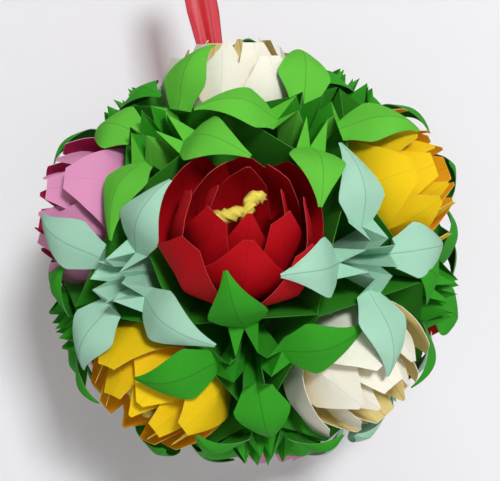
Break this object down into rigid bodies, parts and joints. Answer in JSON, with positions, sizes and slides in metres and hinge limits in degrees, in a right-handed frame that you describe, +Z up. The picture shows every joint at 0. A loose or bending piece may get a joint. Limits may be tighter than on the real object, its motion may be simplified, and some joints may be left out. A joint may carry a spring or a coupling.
{
  "type": "kusudama paper ball",
  "caption": "Hanging ball of folded paper flowers set in five-cornered paper cups, with four-leaf lilies between them and a sheer ribbon loop to hang it by.",
  "frame": {"origin": "the inside of the top of the ribbon loop, where the hook carries it", "axes": "+Z up, +Y away from the flower that faces the viewer, +X to the viewer's right"},
  "size_m": [0.2363, 0.2395, 0.3208],
  "materials": {
    "calyx_paper": "folded green paper, matt",
    "green_leaf_paper": "folded green paper with pale cut edges, matt",
    "mint_leaf_paper": "folded mint paper, matt",
    "red_paper": "folded red paper, darker inside, matt",
    "yellow_paper": "folded yellow paper, orange inside, matt",
    "cream_paper": "folded cream paper, yellow inside, matt",
    "pink_paper": "folded pink paper, crimson inside, matt",
    "crepe_paper": "twisted pale yellow crepe paper",
    "organza": "sheer red organza"
  },
  "bodies": {
    "root": {"calyx_cup_01": "calyx_paper", "calyx_cup_02": "calyx_paper", "calyx_cup_03": "calyx_paper", "calyx_cup_04": "calyx_paper", "calyx_cup_05": "calyx_paper", "calyx_cup_06": "calyx_paper", "calyx_cup_07": "calyx_paper", "calyx_cup_08": "calyx_paper", "calyx_cup_09": "calyx_paper", "calyx_cup_10": "calyx_paper", "calyx_cup_11": "calyx_paper", "calyx_cup_12": "calyx_paper", "flower_01_red": "red_paper", "flower_02_yellow": "yellow_paper", "flower_03_cream": "cream_paper", "flower_04_pink": "pink_paper", "flower_05_yellow": "yellow_paper", "flower_06_cream": "cream_paper", "flower_07_yellow": "yellow_paper", "flower_08_red": "red_paper", "flower_09_pink": "pink_paper", "flower_10_pink": "pink_paper", "flower_11_red": "red_paper", "flower_12_cream": "cream_paper", "lily_01_green": "green_leaf_paper", "lily_02_mint": "mint_leaf_paper", "lily_03_green": "green_leaf_paper", "lily_04_mint": "mint_leaf_paper", "lily_05_green": "green_leaf_paper", "lily_06_green": "green_leaf_paper", "lily_07_green": "green_leaf_paper", "lily_08_green": "green_leaf_paper", "lily_09_green": "green_leaf_paper", "lily_10_green": "green_leaf_paper", "lily_11_green": "green_leaf_paper", "lily_12_green": "green_leaf_paper", "lily_13_green": "green_leaf_paper", "lily_14_green": "green_leaf_paper", "lily_15_mint": "mint_leaf_paper", "lily_16_green": "green_leaf_paper", "lily_17_green": "green_leaf_paper", "lily_18_green": "green_leaf_paper", "lily_19_mint": "mint_leaf_paper", "lily_20_green": "green_leaf_paper", "stamen_01": "crepe_paper", "stamen_02": "crepe_paper", "stamen_03": "crepe_paper", "stamen_04": "crepe_paper", "stamen_05": "crepe_paper", "stamen_06": "crepe_paper", "stamen_07": "crepe_paper", "stamen_08": "crepe_paper", "stamen_09": "crepe_paper", "stamen_10": "crepe_paper", "stamen_11": "crepe_paper", "stamen_12": "crepe_paper", "ribbon": "organza"}
  },
  "joints": []
}
